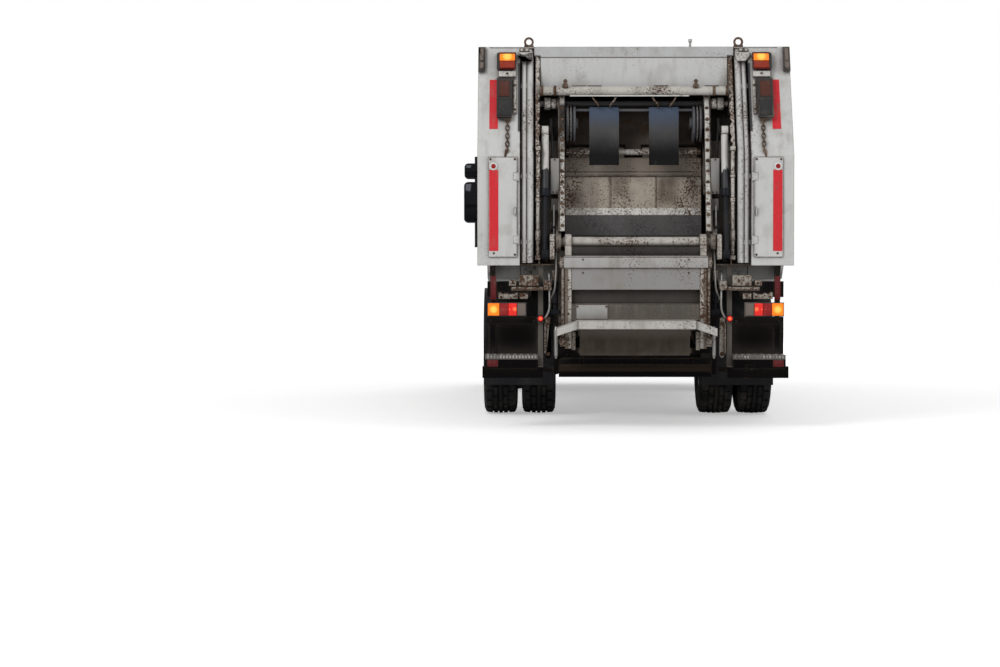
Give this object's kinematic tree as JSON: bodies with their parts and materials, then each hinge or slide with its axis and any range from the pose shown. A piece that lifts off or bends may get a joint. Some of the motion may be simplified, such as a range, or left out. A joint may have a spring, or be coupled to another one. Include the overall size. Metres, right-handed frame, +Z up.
{
  "type": "refuse collection truck",
  "caption": "Rear-loading refuse collection truck with tilting cab, load body, hinged tailgate with packer blade, bin lift and steered front wheels.",
  "frame": {"origin": "on the ground, under the middle of the vehicle's bounding box", "axes": "+Y to the front of the truck, +X to its right side, +Z up"},
  "size_m": [2.98, 7.6, 3.0057],
  "materials": {
    "white_paint": "worn and dirty white paint",
    "cab_paint": "white paint",
    "frame_black": "dark chassis paint with road dirt",
    "bare_steel": "worn steel with rust",
    "hopper_beige": "scraped beige paint",
    "black_plastic": "dark moulded plastic",
    "rim_grey": "grey wheel paint",
    "tyre_black": "dusty tread rubber",
    "flap_rubber": "smooth rubber sheet",
    "clear_glass": "tinted glass",
    "lamp_glass": "red and amber lenses",
    "head_lamp_glass": "clear lenses",
    "seat_cloth": "woven seat cloth",
    "cylinder_white": "painted cylinder",
    "rod_chrome": "plated rod"
  },
  "bodies": {
    "chassis": {"chassis_frame": "frame_black", "engine": "frame_black", "front_axle": "frame_black", "rear_axle": "frame_black", "bumper": "black_plastic", "head_lamps": "head_lamp_glass", "tow_coupling": "frame_black", "entry_steps": "frame_black", "wheel_guards": "black_plastic", "side_tanks": "frame_black", "body_floor": "bare_steel", "body_sides": "white_paint", "body_roof": "white_paint", "body_front_wall": "white_paint", "body_rear_frame": "white_paint"},
    "ejector": {"ejector_plate": "hopper_beige"},
    "cab": {"cab_front": "cab_paint", "windscreen": "clear_glass", "cab_sides": "cab_paint", "cab_floor": "frame_black", "cab_rear_wall": "cab_paint", "cab_roof": "cab_paint", "dashboard": "black_plastic", "seats": "seat_cloth", "mirrors": "black_plastic"},
    "tailgate": {"tailgate_skins": "white_paint", "rear_columns": "white_paint", "recess_panels": "white_paint", "tailgate_roof": "white_paint", "lifting_eyes": "bare_steel", "hopper_trough": "bare_steel", "hopper_cheeks": "hopper_beige", "cross_shafts": "bare_steel", "rubber_flaps": "flap_rubber", "rear_lamps": "lamp_glass", "rear_steps": "frame_black"},
    "carriage": {"carriage": "bare_steel"},
    "blade": {"packer_blade": "hopper_beige"},
    "lifter": {"lift_arms": "white_paint", "lift_panels": "white_paint"},
    "lift_barrels": {"lift_barrels": "cylinder_white"},
    "lift_rods": {"lift_rods": "rod_chrome"},
    "tail_barrels": {"tail_barrels": "cylinder_white"},
    "tail_rods": {"tail_rods": "rod_chrome"},
    "door_left": {"door_left": "cab_paint", "door_glass_left": "clear_glass"},
    "front_knuckle_left": {"knuckle_left": "frame_black"},
    "front_wheel_left": {"front_rim_left": "rim_grey", "front_tyre_left": "tyre_black"},
    "rear_wheels_left": {"rear_rims_left": "rim_grey", "rear_tyres_left": "tyre_black"},
    "door_right": {"door_right": "cab_paint", "door_glass_right": "clear_glass"},
    "front_knuckle_right": {"knuckle_right": "frame_black"},
    "front_wheel_right": {"front_rim_right": "rim_grey", "front_tyre_right": "tyre_black"},
    "rear_wheels_right": {"rear_rims_right": "rim_grey", "rear_tyres_right": "tyre_black"}
  },
  "joints": [
    {"name": "cab_tilt", "type": "hinge", "parent": "chassis", "child": "cab", "pos_m": [0, 3.7, 0.7], "axis": [-1, 0, 0], "range_deg": [0, 50]},
    {"name": "door_left_hinge", "type": "hinge", "parent": "cab", "child": "door_left", "pos_m": [-1.15, 3.505, 1.4], "axis": [0, 0, -1], "range_deg": [0, 75]},
    {"name": "door_right_hinge", "type": "hinge", "parent": "cab", "child": "door_right", "pos_m": [1.15, 3.505, 1.4], "axis": [0, 0, 1], "range_deg": [0, 75]},
    {"name": "steer_left", "type": "hinge", "parent": "chassis", "child": "front_knuckle_left", "pos_m": [-0.83, 2.43, 0.505], "axis": [0, 0, 1], "range_deg": [-35, 35]},
    {"name": "steer_right", "type": "hinge", "parent": "chassis", "child": "front_knuckle_right", "pos_m": [0.83, 2.43, 0.505], "axis": [0, 0, 1], "range_deg": [-35, 35]},
    {"name": "front_left_spin", "type": "hinge", "parent": "front_knuckle_left", "child": "front_wheel_left", "pos_m": [-1, 2.43, 0.505], "axis": [-1, 0, 0], "continuous": true},
    {"name": "front_right_spin", "type": "hinge", "parent": "front_knuckle_right", "child": "front_wheel_right", "pos_m": [1, 2.43, 0.505], "axis": [-1, 0, 0], "continuous": true},
    {"name": "rear_left_spin", "type": "hinge", "parent": "chassis", "child": "rear_wheels_left", "pos_m": [-0.8875, -1.42, 0.505], "axis": [-1, 0, 0], "continuous": true},
    {"name": "rear_right_spin", "type": "hinge", "parent": "chassis", "child": "rear_wheels_right", "pos_m": [0.8875, -1.42, 0.505], "axis": [-1, 0, 0], "continuous": true},
    {"name": "ejector_slide", "type": "slide", "parent": "chassis", "child": "ejector", "axis": [0, -1, 0], "range_m": [0, 2.9]},
    {"name": "tailgate_lift", "type": "hinge", "parent": "chassis", "child": "tailgate", "pos_m": [0, -1.7, 2.905], "axis": [-1, 0, 0], "range_deg": [0, 80]},
    {"name": "tail_barrel_swing", "type": "hinge", "parent": "chassis", "child": "tail_barrels", "pos_m": [0, -1.15, 1.75], "axis": [-1, 0, 0], "range_deg": [0, 26.83]},
    {"name": "tail_rod_slide", "type": "slide", "parent": "tail_barrels", "child": "tail_rods", "axis": [0, -0.8638, 0.5039], "range_m": [0, 0.65515]},
    {"name": "carriage_slide", "type": "slide", "parent": "tailgate", "child": "carriage", "axis": [0, 0.6, 0.8], "range_m": [-0.4, 0.3]},
    {"name": "blade_swing", "type": "hinge", "parent": "carriage", "child": "blade", "pos_m": [0, -2.9, 2.12], "axis": [1, 0, 0], "range_deg": [0, 70]},
    {"name": "lifter_swing", "type": "hinge", "parent": "tailgate", "child": "lifter", "pos_m": [0, -3.43, 1.42], "axis": [-1, 0, 0], "range_deg": [0, 140]},
    {"name": "lift_barrel_swing", "type": "hinge", "parent": "tailgate", "child": "lift_barrels", "pos_m": [0, -3.26, 2.27], "axis": [-1, 0, 0], "range_deg": [0, 2.91]},
    {"name": "lift_rod_slide", "type": "slide", "parent": "lift_barrels", "child": "lift_rods", "axis": [0, -0.2114, -0.9774], "range_m": [-0.1827, 0]}
  ],
  "couplings": [
    {"joint": "steer_right", "follows": "steer_left", "ratio": 1},
    {"joint": "tail_barrel_swing", "follows": "tailgate_lift", "ratio": 0.33532},
    {"joint": "tail_rod_slide", "follows": "tailgate_lift", "m_per_rad": 0.46917},
    {"joint": "lift_barrel_swing", "follows": "lifter_swing", "ratio": 0.020775},
    {"joint": "lift_rod_slide", "follows": "lifter_swing", "m_per_rad": -0.074763}
  ]
}
